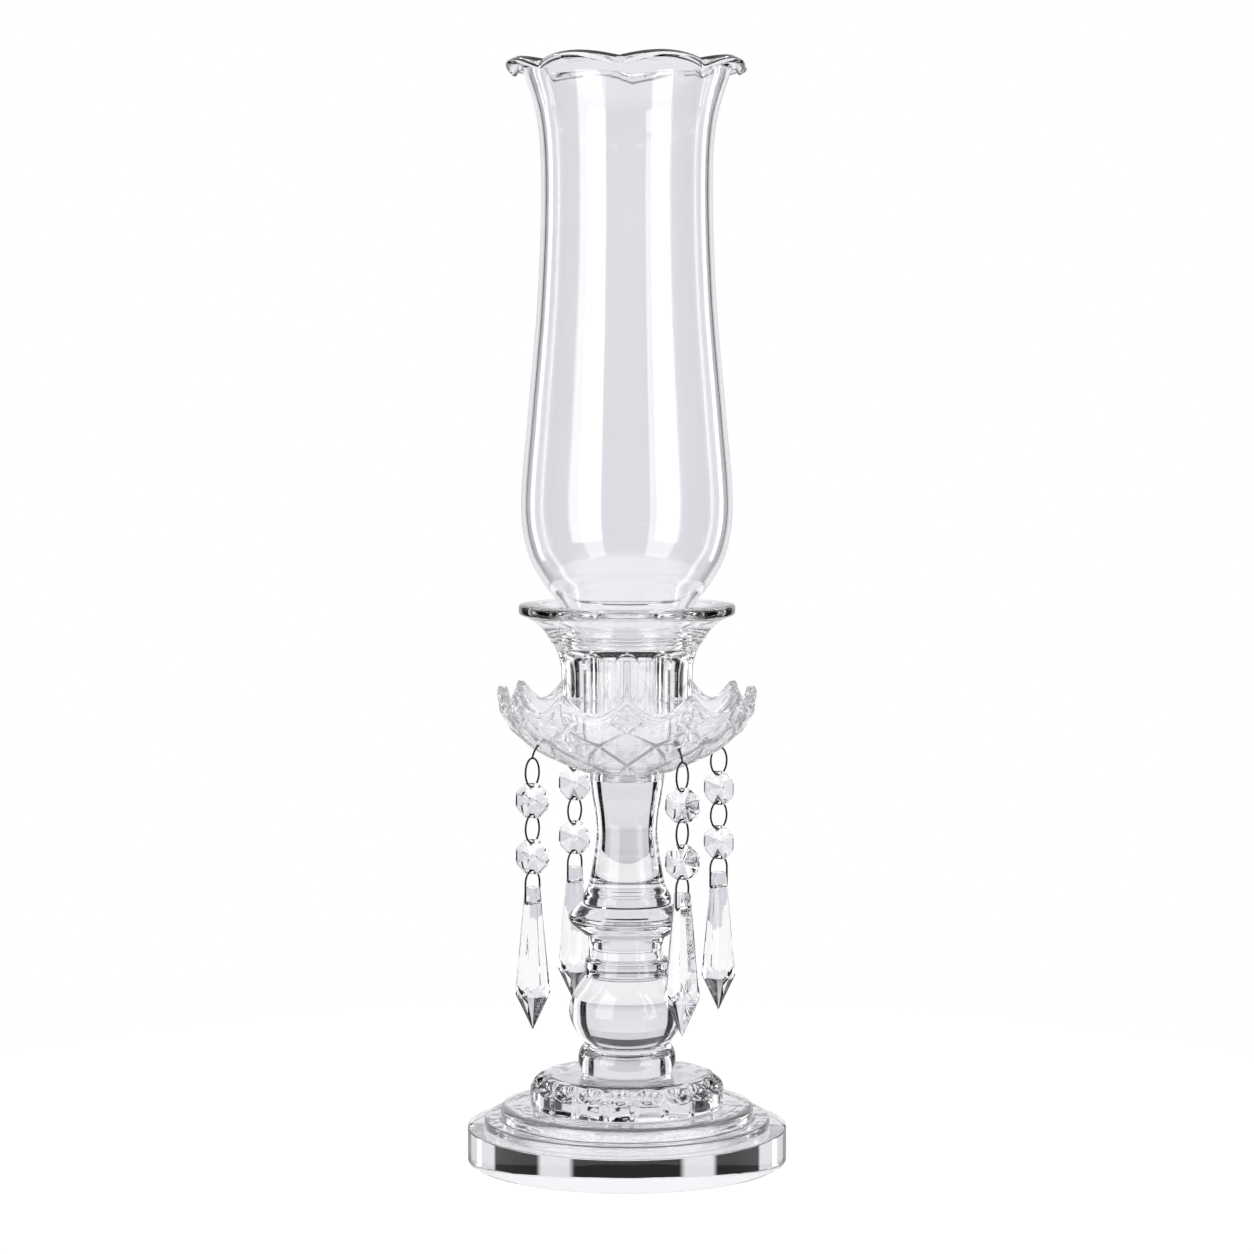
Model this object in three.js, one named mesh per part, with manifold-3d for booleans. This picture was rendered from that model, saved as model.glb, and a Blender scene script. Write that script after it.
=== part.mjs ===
// A cut-glass hurricane candle holder, free standing, with four crystal garlands.
// Millimetres, +Z up. The origin is the centre of the base's underside, and -Y is the front.
// An angle round the holder is counted in degrees from the front, positive towards +X.

import * as THREE from 'three';
import { mergeVertices } from 'three/addons/utils/BufferGeometryUtils.js';
import { ConvexGeometry } from 'three/addons/geometries/ConvexGeometry.js';
import Module from 'manifold-3d';

const wasm = await Module();
wasm.setup();

// Facets round a full circle
const wideFacets = 48;
const stemFacets = 32;
const wireFacets = 6;
const holeFacets = 10;

// Fits between pieces
const glueFilm = 0.1;
const restGap = 0.1;
const socketClearance = 0.4;

// Base plate, a thick polished disc
const plateRadius = 64.3;
const plateHeight = 13.4;
const plateBevel = 0.8;

// Stepped foot, bonded on the plate
const lowerStepRadius = 57.6;
const lowerStepRise = 3.3;
const upperStepRadius = 51;
const upperStepRise = 5.2;
const lowerStepBevel = 0.8;
const upperStepBevel = 2.4;

// Petal ring, a moulded dome with petals scooped out of its shoulder
const petalRadius = 39;
const petalBandHeight = 6;
const petalShoulderHeight = 6.4;
const petalTopRadius = 30.9;
const petalCount = 20;
const petalDepth = 1.4;
const petalWidthShare = 0.86;
const petalMiddleShare = 0.44;
const petalHalfHeightShare = 0.38;
const petalRingTurn = -4.5;

// Foot ring, a plain round-edged ring under the ball
const footRingHeight = 12;
const footRingEndRadius = 16.8;
const footRingBulge = 2.8;

// Stem ball, its side set in a little between the widest place and each end
const ballHeight = 27.4;
const ballBottomRadius = 16.7;
const ballRadius = 23.4;
const ballTopRadius = 16.9;
const ballWidestHeight = 13.4;
const ballLowerInset = 2;
const ballUpperInset = 1.8;

// Stem collar: a round-edged disc with a narrow neck above it
const collarRadius = 16.9;
const collarDiscHeight = 7;
const collarBevel = 1;
const collarHeight = 16.4;
const collarNeckRadius = 14.1;
const collarNeckFlare = 0.7;
const collarTopRadius = 15.4;

// Stem knop, a disc with a rounded edge
const knopHeight = 13.4;
const knopRadius = 23.7;
const knopWidestHeight = 7.6;
const knopBottomRadius = 16.6;
const knopTopRadius = 18;
const knopLowerInset = 1.6;
const knopUpperInset = 2.2;

// Stem column, waisted, with a socket in its top for the cup's peg
const columnHeight = 52.8;
const columnFootRadius = 17.8;
const columnFootHeight = 2.6;
const columnFootTaper = 0.2;
const columnWaistRadius = 12.2;
const columnWaistHeight = 28.6;
const columnShoulderHeight = 43.3;
const columnShoulderInset = 1;
const columnTopRadius = 15;
const columnLip = 0.9;
const pegSocketDepth = 3.4;

// Drip dish, a scalloped bowl of cut glass that stands on the column
const dishHeight = 34;
const dishRimRadius = 52.3;
const dishFootRadius = 18;
const dishWall = 3;
const scallopCount = 12;
const scallopDepth = 7.6;
const hookHoleRadius = 1;
const hookHolePlace = 41;

// Candle cup, fluted, with a wide flange, a seat for the shade and a candle socket
const cupHeight = 64;
const cupFootRadius = 16;
const cupFootSpread = 7;
const cupFootRise = 2.4;
const cupBodyRadius = 26.2;
const cupBodyLevel = 11;
const cupFlangeRadius = 43.4;
const cupFlangeThickness = 4.6;
const cupFlangeBevel = 1;
const cupMouthRadius = 34.5;
const fluteCount = 12;
const fluteWidthShare = 2 / 3;
const fluteDepth = 0.9;
const fluteStart = 4;
const fluteTop = 42;
const fluteArch = 3;
const pegRadius = 9;
const pegReach = 3;
const shadeSeatDepth = 10.4;
const shadeSeatWidth = 4.4;
const shadeSeatClearance = 1.2;
const shadeSeatChamfer = 1.6;
const candleSocketRadius = 11.3;
const candleSocketDepth = 25;
const candleBowlDepth = 8;
const candleBowlTaper = 1.6;
const candleBowlSideHeight = 3;

// Hurricane shade, blown, open at both ends, with a ruffled rim
const shadeNeckRadius = 23.7;
const shadeWidestRadius = 42.3;
const shadeNarrowRadius = 34.1;
const shadeLipRadius = 47.6;
const shadeHeight = 225.4;
const shadeWall = 2.2;
const lobeCount = 8;
const lobeRise = 3.2;
const notchDepth = 3.4;
const ruffleHeight = 18;
const shadeTurn = -4;

// Garlands: hooks, links and drops of plated wire and cut crystal
const wireRadius = 0.4;
const loopWidth = 9.2;
const loopHeight = 12.2;
const hookThrow = 2.2;
const hookDrop = 4.4;
const hookHeadRadius = 1.3;
const beadAcross = 14;
const beadThickness = 6.2;
const beadEdge = 0.8;
const beadHoleRadius = 0.95;
const beadHoleInset = 1.55;
const dropLinkHeight = 13.6;
const dropLinkWidth = 9.6;
const dropLength = 57;
const dropTopAcross = 6;
const dropAcross = 14.3;
const dropPointLength = 14.6;
const dropZigzag = 2.6;
const dropHoleRadius = 0.8;
const dropHoleInset = 6;
const loopTwist = 20;

// Each garland's place round the dish, and the way its beads face
const garlands = [
  { place: 'front_left', angle: -60, facing: -18 },
  { place: 'front_right', angle: 30, facing: -14 },
  { place: 'back_right', angle: 120, facing: -32 },
  { place: 'back_left', angle: 210, facing: -20 },
];

// Levels up the holder
const footLevel = plateHeight + glueFilm;
const petalLevel = footLevel + lowerStepRise + upperStepRise + glueFilm;
const footRingLevel = petalLevel + petalBandHeight + petalShoulderHeight + glueFilm;
const ballLevel = footRingLevel + footRingHeight + glueFilm;
const collarLevel = ballLevel + ballHeight + glueFilm;
const knopLevel = collarLevel + collarHeight + glueFilm;
const columnLevel = knopLevel + knopHeight + glueFilm;
const dishLevel = columnLevel + columnHeight + restGap;
const cupLevel = dishLevel + dishWall + restGap;
const shadeLevel = cupLevel + cupHeight - shadeSeatDepth + restGap;

const glassLook = { color: 0xf4f6f7, roughness: 0.02, metalness: 0 };
const chromeLook = { color: 0xc9ccd0, roughness: 0.12, metalness: 1 };

const radians = THREE.MathUtils.degToRad;

// Helpers shared by the turned pieces

// Turns a profile of [radius, height] points, given up the outside, about the upright axis.
function turned(profile, facets) {
  const points = profile.map(([radius, height]) => new THREE.Vector2(radius, height));
  return new THREE.LatheGeometry(points, facets).rotateX(Math.PI / 2);
}

// A smooth run of [radius, height] points through the given ones.
function smooth(points, steps) {
  const curve = new THREE.SplineCurve(points.map(([radius, height]) => new THREE.Vector2(radius, height)));
  return curve.getPoints(steps).map((point) => [point.x, point.y]);
}

// Moves each vertex to the radius and height that change gives for its own place.
function reshaped(geometry, change) {
  const place = geometry.getAttribute('position');
  for (let i = 0; i < place.count; i += 1) {
    const x = place.getX(i);
    const y = place.getY(i);
    const angle = Math.atan2(x, -y);
    const [radius, height] = change(Math.hypot(x, y), place.getZ(i), angle);
    place.setXYZ(i, radius * Math.sin(angle), -radius * Math.cos(angle), height);
  }
  return geometry;
}

// Where an angle lies across its own sector of the circle, from -1 to 1. One sector is centred on angle 0.
function acrossSector(angle, count) {
  const turns = angle * count / (2 * Math.PI);
  return 2 * (turns - Math.round(turns));
}

// The same run of points moved sideways by its wall, on the left of its way.
function offset(points, wall) {
  return points.map(([radius, height], i) => {
    const before = points[Math.max(i - 1, 0)];
    const after = points[Math.min(i + 1, points.length - 1)];
    const along = new THREE.Vector2(after[0] - before[0], after[1] - before[1]).normalize();
    return [radius - along.y * wall, height + along.x * wall];
  });
}

// Cutting and joining

function solid(geometry) {
  const bare = geometry.clone();
  bare.deleteAttribute('normal');
  bare.deleteAttribute('uv');
  const merged = mergeVertices(bare, 1e-4);
  const corners = merged.index.array;
  const kept = [];
  for (let i = 0; i < corners.length; i += 3) {
    const [a, b, c] = corners.slice(i, i + 3);
    if (a !== b && b !== c && c !== a) kept.push(a, b, c);
  }
  const vertProperties = new Float32Array(merged.getAttribute('position').array);
  return new wasm.Manifold(new wasm.Mesh({ numProp: 3, vertProperties, triVerts: new Uint32Array(kept) }));
}

function geometryOf(manifold) {
  const mesh = manifold.getMesh();
  const geometry = new THREE.BufferGeometry();
  geometry.setAttribute('position', new THREE.BufferAttribute(mesh.vertProperties, 3));
  geometry.setIndex(new THREE.BufferAttribute(mesh.triVerts, 1));
  geometry.computeVertexNormals();
  return geometry;
}

// A round rod between two points, for drilling a hole.
function rod(from, to, radius) {
  const along = to.clone().sub(from);
  const turn = new THREE.Quaternion().setFromUnitVectors(new THREE.Vector3(0, 1, 0), along.clone().normalize());
  const middle = from.clone().add(to).multiplyScalar(0.5);
  return new THREE.CylinderGeometry(radius, radius, along.length(), holeFacets)
    .applyQuaternion(turn)
    .translate(middle.x, middle.y, middle.z);
}

function named(name, geometry, look, level = 0) {
  const mesh = new THREE.Mesh(geometry, new THREE.MeshStandardMaterial(look));
  mesh.name = name;
  mesh.position.z = level;
  return mesh;
}

// Foot and stem

function basePlate() {
  return turned([
    [0, 0],
    [plateRadius - plateBevel, 0],
    [plateRadius, plateBevel],
    [plateRadius, plateHeight - plateBevel],
    [plateRadius - plateBevel, plateHeight],
    [0, plateHeight],
  ], wideFacets);
}

function steppedFoot() {
  const top = lowerStepRise + upperStepRise;
  return turned([
    [0, 0],
    [lowerStepRadius, 0],
    [lowerStepRadius, lowerStepRise - lowerStepBevel],
    [lowerStepRadius - lowerStepBevel, lowerStepRise],
    [upperStepRadius, lowerStepRise],
    [upperStepRadius, top - upperStepBevel],
    [upperStepRadius - upperStepBevel, top],
    [0, top],
  ], wideFacets);
}

// Each petal is a round hollow in the shoulder, deepest at its middle, and the rims between them stand.
function petalRing() {
  const top = petalBandHeight + petalShoulderHeight;
  const shoulder = [0, 18, 36, 54, 72, 90].map((turn) => [
    petalTopRadius + (petalRadius - petalTopRadius) * Math.cos(radians(turn)),
    petalBandHeight + petalShoulderHeight * Math.sin(radians(turn)),
  ]);
  const ring = turned([[0, 0], [petalRadius, 0], ...shoulder, [0, top]], petalCount * 4);
  return reshaped(ring, (radius, height, angle) => {
    const rise = (height - petalBandHeight) / petalShoulderHeight;
    if (rise <= 0) return [radius, height];
    const turn = Math.asin(Math.min(rise, 1));
    const across = acrossSector(angle - radians(petalRingTurn), petalCount) / petalWidthShare;
    const up = (turn * 2 / Math.PI - petalMiddleShare) / petalHalfHeightShare;
    const cut = petalDepth * Math.max(1 - across ** 2 - up ** 2, 0);
    return [radius - cut * Math.cos(turn), height - cut * Math.sin(turn)];
  });
}

function footRing() {
  const side = [];
  for (let turn = -90; turn <= 90; turn += 30) {
    side.push([
      footRingEndRadius + footRingBulge * Math.cos(radians(turn)),
      footRingHeight / 2 * (1 + Math.sin(radians(turn))),
    ]);
  }
  return turned([[0, 0], ...side, [0, footRingHeight]], stemFacets);
}

function stemBall() {
  const side = smooth([
    [ballBottomRadius, 0],
    [ballRadius - ballLowerInset, ballWidestHeight / 2],
    [ballRadius, ballWidestHeight],
    [ballRadius - ballUpperInset, (ballWidestHeight + ballHeight) / 2],
    [ballTopRadius, ballHeight],
  ], 8);
  return turned([[0, 0], ...side, [0, ballHeight]], stemFacets);
}

function stemCollar() {
  const waist = (collarDiscHeight + collarHeight) / 2;
  const neck = smooth([
    [collarNeckRadius + collarNeckFlare, collarDiscHeight + collarBevel],
    [collarNeckRadius, waist],
    [collarTopRadius, collarHeight],
  ], 4);
  return turned([
    [0, 0],
    [collarRadius - collarBevel, 0],
    [collarRadius, collarBevel],
    [collarRadius, collarDiscHeight - collarBevel],
    ...neck,
    [0, collarHeight],
  ], stemFacets);
}

function stemKnop() {
  const side = smooth([
    [knopBottomRadius, 0],
    [knopRadius - knopLowerInset, knopWidestHeight * 0.6],
    [knopRadius, knopWidestHeight],
    [knopRadius - knopUpperInset, (knopWidestHeight + knopHeight) / 2],
    [knopTopRadius, knopHeight],
  ], 7);
  return turned([[0, 0], ...side, [0, knopHeight]], stemFacets);
}

function stemColumn() {
  const side = smooth([
    [columnFootRadius, 0],
    [columnFootRadius - columnFootTaper, columnFootHeight],
    [(columnFootRadius + columnWaistRadius) / 2, columnWaistHeight * 0.3],
    [columnWaistRadius, columnWaistHeight],
    [columnTopRadius - columnShoulderInset, columnShoulderHeight],
    [columnTopRadius, columnHeight - 3 * columnLip],
  ], 10);
  const socketRadius = pegRadius + socketClearance;
  return turned([
    [0, 0],
    ...side,
    [columnTopRadius, columnHeight - columnLip],
    [columnTopRadius - columnLip, columnHeight],
    [socketRadius, columnHeight],
    [socketRadius, columnHeight - pegSocketDepth],
    [0, columnHeight - pegSocketDepth],
  ], stemFacets);
}

// Drip dish

// The bowl's outside, from its foot to the tips of the rim.
const dishOutside = [
  [dishFootRadius, 0],
  [dishFootRadius + 0.35 * (dishRimRadius - dishFootRadius), 0.14 * dishHeight],
  [dishFootRadius + 0.64 * (dishRimRadius - dishFootRadius), 0.32 * dishHeight],
  [dishFootRadius + 0.85 * (dishRimRadius - dishFootRadius), 0.53 * dishHeight],
  [dishFootRadius + 0.97 * (dishRimRadius - dishFootRadius), 0.77 * dishHeight],
  [dishRimRadius, dishHeight],
];

// The outside's height and slope where a garland's hook goes through.
function dishAt(radius) {
  const fine = smooth(dishOutside, 400);
  const i = fine.findIndex((point) => point[0] >= radius);
  const [near, far] = [fine[i - 1], fine[i]];
  const share = (radius - near[0]) / (far[0] - near[0]);
  return {
    height: near[1] + share * (far[1] - near[1]),
    slope: Math.atan2(far[1] - near[1], far[0] - near[0]),
  };
}

// Pointed scallops: the wall above the plain part is drawn down between the tips.
function scalloped(radius, height, angle) {
  const plain = dishHeight * 0.45;
  if (height <= plain || radius < dishFootRadius) return [radius, height];
  const valley = Math.abs(Math.sin(scallopCount * angle / 2));
  const fall = scallopDepth * valley * (height - plain) / (dishHeight - plain);
  return [radius - 0.2 * fall, height - fall];
}

function dripDish() {
  const outside = smooth(dishOutside, 8);
  const inside = offset(outside, dishWall).filter(([radius]) => radius > dishFootRadius + 2);
  inside[inside.length - 1][1] = dishHeight;
  const holeRadius = pegRadius + socketClearance;
  const bowl = turned([
    [holeRadius, 0],
    ...outside,
    ...inside.reverse(),
    [dishFootRadius, dishWall],
    [holeRadius, dishWall],
    [holeRadius, 0],
  ], scallopCount * 4);
  let dish = solid(reshaped(bowl, scalloped));
  const { height, slope } = dishAt(hookHolePlace);
  for (const { angle } of garlands) {
    const outward = new THREE.Vector3(Math.sin(radians(angle)), -Math.cos(radians(angle)), 0);
    const mouth = outward.clone().multiplyScalar(hookHolePlace).setZ(height);
    const normal = outward.clone().multiplyScalar(Math.sin(slope)).setZ(-Math.cos(slope));
    const outer = mouth.clone().addScaledVector(normal, 2);
    const inner = mouth.clone().addScaledVector(normal, -dishWall - 2);
    dish = dish.subtract(solid(rod(outer, inner, hookHoleRadius)));
  }
  return geometryOf(dish);
}

// Candle cup

// Round-bottomed flutes in the outside wall, with ribs between them and arches at their tops.
function fluted(radius, height, angle) {
  const across = Math.abs(acrossSector(angle, fluteCount)) / fluteWidthShare;
  if (across >= 1 || radius < cupBodyRadius - 4) return [radius, height];
  const foot = THREE.MathUtils.clamp((height - fluteStart) / fluteStart, 0, 1);
  const arch = THREE.MathUtils.clamp((fluteTop + fluteArch - height) / fluteArch, 0, 1);
  return [radius - fluteDepth * foot * arch * Math.sqrt(1 - across ** 2), height];
}

function candleCup() {
  const flangeBottom = cupHeight - cupFlangeThickness;
  const seat = cupHeight - shadeSeatDepth;
  const seatRadius = shadeNeckRadius + shadeSeatClearance;
  const bowlRadius = seatRadius - shadeSeatWidth;
  const bowlFloor = seat - candleBowlDepth;
  const body = smooth([
    [cupFootRadius, 0],
    [cupFootRadius + cupFootSpread, cupFootRise],
    [cupBodyRadius, cupBodyLevel],
  ], 4);
  const flare = smooth([
    [cupBodyRadius + 0.4, fluteTop - 4],
    [cupBodyRadius + 2, fluteTop + fluteArch],
    [cupBodyRadius + 5.6, flangeBottom - 8],
    [cupFlangeRadius - 7, flangeBottom - 3],
    [cupFlangeRadius - 1, flangeBottom],
  ], 7);
  const pegHeight = dishWall + restGap + pegReach;
  return turned([
    [0, -pegHeight],
    [pegRadius, -pegHeight],
    [pegRadius, 0],
    ...body,
    ...flare,
    [cupFlangeRadius, flangeBottom + cupFlangeBevel],
    [cupFlangeRadius, cupHeight - cupFlangeBevel],
    [cupFlangeRadius - cupFlangeBevel, cupHeight],
    [cupMouthRadius, cupHeight],
    [seatRadius, seat + shadeSeatChamfer],
    [seatRadius, seat],
    [bowlRadius, seat],
    [bowlRadius - candleBowlTaper, bowlFloor + candleBowlSideHeight],
    [candleSocketRadius, bowlFloor],
    [candleSocketRadius, bowlFloor - candleSocketDepth],
    [0, bowlFloor - candleSocketDepth],
  ], fluteCount * 6);
}

// Hurricane shade

function ruffled(radius, height, angle) {
  const start = shadeHeight - ruffleHeight;
  if (height <= start || radius <= shadeNarrowRadius) return [radius, height];
  const share = Math.min((radius - shadeNarrowRadius) / (shadeLipRadius - shadeNarrowRadius), 1);
  const reach = share * share;
  const lobe = Math.abs(Math.sin(lobeCount * angle / 2));
  return [radius - notchDepth * reach * (1 - lobe), height + lobeRise * reach * (lobe - 0.6)];
}

function hurricaneShade() {
  const belly = 50;
  const waist = 172;
  const outside = smooth([
    [shadeNeckRadius, 0],
    [shadeNeckRadius + 0.9, 6],
    [shadeNeckRadius + 4.6, 12],
    [shadeWidestRadius - 8.6, 19],
    [shadeWidestRadius - 2.6, 31],
    [shadeWidestRadius, belly],
    [shadeWidestRadius - 2.6, 84],
    [shadeNarrowRadius + 1.6, 130],
    [shadeNarrowRadius, waist],
    [shadeNarrowRadius + 1.2, 200],
    [shadeNarrowRadius + 6.4, shadeHeight - 7.4],
    [shadeLipRadius - 3.6, shadeHeight - 2.4],
    [shadeLipRadius, shadeHeight - 4],
  ], 13);
  const inside = offset(outside, shadeWall).reverse();
  const shade = reshaped(turned([...outside, ...inside, outside[0]], lobeCount * 6), ruffled);
  return shade.rotateZ(radians(shadeTurn));
}

// Garlands

// A closed oval of wire in the Y-Z plane, centred on the origin.
class Oval extends THREE.Curve {
  getPoint(share) {
    const turn = share * 2 * Math.PI;
    const across = loopWidth / 2 - wireRadius;
    const up = loopHeight / 2 - wireRadius;
    return new THREE.Vector3(0, across * Math.cos(turn), up * Math.sin(turn));
  }
}

function ovalLink() {
  return new THREE.TubeGeometry(new Oval(), 14, wireRadius, wireFacets, true);
}

// An arched link with a straight bar at its foot, which goes through the drop. Its foot is at the origin.
function dropLink() {
  const half = dropLinkWidth / 2 - wireRadius;
  const top = dropLinkHeight - 2 * wireRadius;
  const arch = 5.2;
  const corner = 0.7;
  const path = new THREE.CurvePath();
  const at = (across, up) => new THREE.Vector3(0, across, up);
  for (let turn = 0; turn < 180; turn += 22.5) {
    const [a, b] = [radians(turn), radians(turn + 22.5)];
    path.add(new THREE.LineCurve3(
      at(half * Math.cos(a), top - arch + arch * Math.sin(a)),
      at(half * Math.cos(b), top - arch + arch * Math.sin(b)),
    ));
  }
  path.add(new THREE.LineCurve3(at(-half, top - arch), at(-half, corner)));
  path.add(new THREE.LineCurve3(at(-half, corner), at(-half + corner, 0)));
  path.add(new THREE.LineCurve3(at(-half + corner, 0), at(half - corner, 0)));
  path.add(new THREE.LineCurve3(at(half - corner, 0), at(half, corner)));
  path.add(new THREE.LineCurve3(at(half, corner), at(half, top - arch)));
  return new THREE.TubeGeometry(path, 20, wireRadius, wireFacets, true);
}

// An eight-sided bead that faces -Y, with a point on each face and two drilled holes.
function octagonBead() {
  const corner = beadAcross / 2 / Math.cos(Math.PI / 8);
  const points = [new THREE.Vector3(0, beadThickness / 2, 0), new THREE.Vector3(0, -beadThickness / 2, 0)];
  for (let side = 0; side < 8; side += 1) {
    const turn = (side + 0.5) * Math.PI / 4;
    for (const face of [-beadEdge / 2, beadEdge / 2]) {
      points.push(new THREE.Vector3(corner * Math.cos(turn), face, corner * Math.sin(turn)));
    }
  }
  let bead = solid(new ConvexGeometry(points));
  const hole = beadAcross / 2 - beadHoleInset;
  for (const height of [-hole, hole]) {
    const [from, to] = [-beadThickness, beadThickness].map((depth) => new THREE.Vector3(0, depth, height));
    bead = bead.subtract(solid(rod(from, to, beadHoleRadius)));
  }
  return geometryOf(bead);
}

// An eight-sided drop that hangs below its hole, which is at the origin.
function crystalDrop() {
  const top = dropHoleInset;
  const tip = top - dropLength;
  const shoulder = tip + dropPointLength;
  const wide = dropAcross / 2;
  const points = [new THREE.Vector3(0, 0, tip)];
  for (let side = 0; side < 8; side += 1) {
    const edge = (side + 0.5) * Math.PI / 4;
    const middle = side * Math.PI / 4;
    const topCorner = dropTopAcross / 2 / Math.cos(Math.PI / 8);
    const ring = (turn, radius, height) => points.push(
      new THREE.Vector3(radius * Math.cos(turn), radius * Math.sin(turn), height),
    );
    ring(edge, topCorner, top);
    ring(edge, wide - 0.1, shoulder + dropZigzag);
    ring(middle, wide - 0.25, shoulder);
  }
  const hole = rod(new THREE.Vector3(0, -wide, 0), new THREE.Vector3(0, wide, 0), dropHoleRadius);
  return geometryOf(solid(new ConvexGeometry(points)).subtract(solid(hole)));
}

// The hook hangs by a round head inside the dish. Its origin is the middle of its oval loop.
function garlandHook(angle, facing) {
  const { height, slope } = dishAt(hookHolePlace);
  const loopTop = loopHeight / 2 - wireRadius;
  const mouth = loopTop + hookDrop;
  const inward = new THREE.Vector3(-Math.sin(radians(angle)), Math.cos(radians(angle)), 0);
  const at = (inset, up) => inward.clone().multiplyScalar(inset).setZ(up);
  const along = (distance) => at(hookThrow + distance * Math.sin(slope), mouth + distance * Math.cos(slope));
  const headDistance = dishWall + restGap + hookHeadRadius;
  const path = new THREE.CatmullRomCurve3([
    at(0, loopTop),
    at(hookThrow * 0.25, loopTop + hookDrop * 0.4),
    along(-hookDrop * 0.25),
    along(dishWall / 2),
    along(headDistance),
  ]);
  const section = new THREE.Shape();
  for (let side = 0; side < wireFacets; side += 1) {
    const turn = side * 2 * Math.PI / wireFacets;
    const [x, y] = [wireRadius * Math.cos(turn), wireRadius * Math.sin(turn)];
    if (side === 0) section.moveTo(x, y);
    else section.lineTo(x, y);
  }
  const tail = new THREE.ExtrudeGeometry(section, { steps: 6, extrudePath: path });
  const headPlace = along(headDistance);
  const head = new THREE.IcosahedronGeometry(hookHeadRadius, 1).translate(headPlace.x, headPlace.y, headPlace.z);
  const loop = ovalLink().rotateZ(radians(facing - loopTwist));
  return { geometry: geometryOf(solid(loop).add(solid(tail)).add(solid(head))), drop: height - mouth };
}

function garland({ place, angle, facing }) {
  const group = new THREE.Group();
  const reach = hookHolePlace + hookThrow;
  group.position.set(reach * Math.sin(radians(angle)), -reach * Math.cos(radians(angle)), dishLevel);
  const add = (name, geometry, look, level, turn) => {
    const mesh = named(`${name}_${place}`, geometry, look, level);
    mesh.rotation.z = radians(turn);
    group.add(mesh);
  };
  const loopHalf = loopHeight / 2 - wireRadius;
  const holeToMiddle = beadAcross / 2 - beadHoleInset;
  const hook = garlandHook(angle, facing);
  let level = hook.drop;
  add('garland_hook', hook.geometry, chromeLook, level, 0);
  level -= loopHalf + holeToMiddle;
  add('upper_bead', octagonBead(), glassLook, level, facing);
  level -= holeToMiddle + loopHalf;
  add('bead_link', ovalLink(), chromeLook, level, facing - loopTwist);
  level -= loopHalf + holeToMiddle;
  add('lower_bead', octagonBead(), glassLook, level, facing);
  level -= holeToMiddle + dropLinkHeight - 2 * wireRadius;
  add('drop_link', dropLink(), chromeLook, level, facing - loopTwist);
  add('crystal_drop', crystalDrop(), glassLook, level, facing - loopTwist);
  return group;
}

const holder = new THREE.Group();
holder.add(
  named('base_plate', basePlate(), glassLook),
  named('stepped_foot', steppedFoot(), glassLook, footLevel),
  named('petal_ring', petalRing(), glassLook, petalLevel),
  named('foot_ring', footRing(), glassLook, footRingLevel),
  named('stem_ball', stemBall(), glassLook, ballLevel),
  named('stem_collar', stemCollar(), glassLook, collarLevel),
  named('stem_knop', stemKnop(), glassLook, knopLevel),
  named('stem_column', stemColumn(), glassLook, columnLevel),
  named('drip_dish', dripDish(), glassLook, dishLevel),
  named('candle_cup', reshaped(candleCup(), fluted), glassLook, cupLevel),
  named('hurricane_shade', hurricaneShade(), glassLook, shadeLevel),
);
for (const spot of garlands) holder.add(garland(spot));

export default holder;
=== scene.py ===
import math

import bmesh
import bpy
from mathutils import Matrix, Vector


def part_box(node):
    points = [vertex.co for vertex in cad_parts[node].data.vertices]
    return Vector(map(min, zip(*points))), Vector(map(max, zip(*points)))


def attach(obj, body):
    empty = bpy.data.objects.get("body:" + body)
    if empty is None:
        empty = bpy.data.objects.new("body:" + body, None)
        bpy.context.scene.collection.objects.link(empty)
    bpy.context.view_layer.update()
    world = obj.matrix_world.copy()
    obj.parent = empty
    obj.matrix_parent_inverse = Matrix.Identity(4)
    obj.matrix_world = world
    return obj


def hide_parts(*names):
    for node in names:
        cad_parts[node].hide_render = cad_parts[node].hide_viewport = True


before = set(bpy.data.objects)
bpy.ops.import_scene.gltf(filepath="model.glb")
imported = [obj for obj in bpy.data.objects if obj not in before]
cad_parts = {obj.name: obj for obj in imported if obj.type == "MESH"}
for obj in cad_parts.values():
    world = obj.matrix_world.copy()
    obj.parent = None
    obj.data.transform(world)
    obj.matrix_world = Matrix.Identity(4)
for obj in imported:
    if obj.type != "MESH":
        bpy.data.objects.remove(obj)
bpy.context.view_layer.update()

# The base plate is a thick disc of clear crystal, pressed in a mould and polished flat on both
# faces and round its edge. It is the lowest piece of the stem and stands on the table.

# The pieces' sizes are in millimetres and turns in degrees. The studio's sizes are in metres.
MM = 0.001
plate_edge = 0.35
seam = 0.002

# How far the marks of polishing run round the axis, in millimetres to each radian.
streak_stretch = 7


def low(node):
    """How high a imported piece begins, in millimetres."""
    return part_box(node)[0].z / MM


def tall(node):
    lowest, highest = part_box(node)
    return (highest.z - lowest.z) / MM


def wide(node):
    """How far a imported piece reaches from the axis, in millimetres."""
    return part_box(node)[1].x / MM


def filleted(corners, steps=5):
    """An outline of (radius, height) points. Each corner is (radius, height, how far its rounding runs)."""
    outline = []
    for i, (radius, height, rounding) in enumerate(corners):
        here = Vector((radius, height))
        if rounding == 0:
            outline.append(here)
            continue
        before = (Vector(corners[i - 1][:2]) - here).normalized()
        after = (Vector(corners[i + 1][:2]) - here).normalized()
        start = here + before * rounding
        end = here + after * rounding
        outline.append(start + before * rounding / 3)
        for step in range(steps + 1):
            share = step / steps
            outline.append(start.lerp(here, share).lerp(here.lerp(end, share), share))
        outline.append(end + after * rounding / 3)
    return outline


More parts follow.
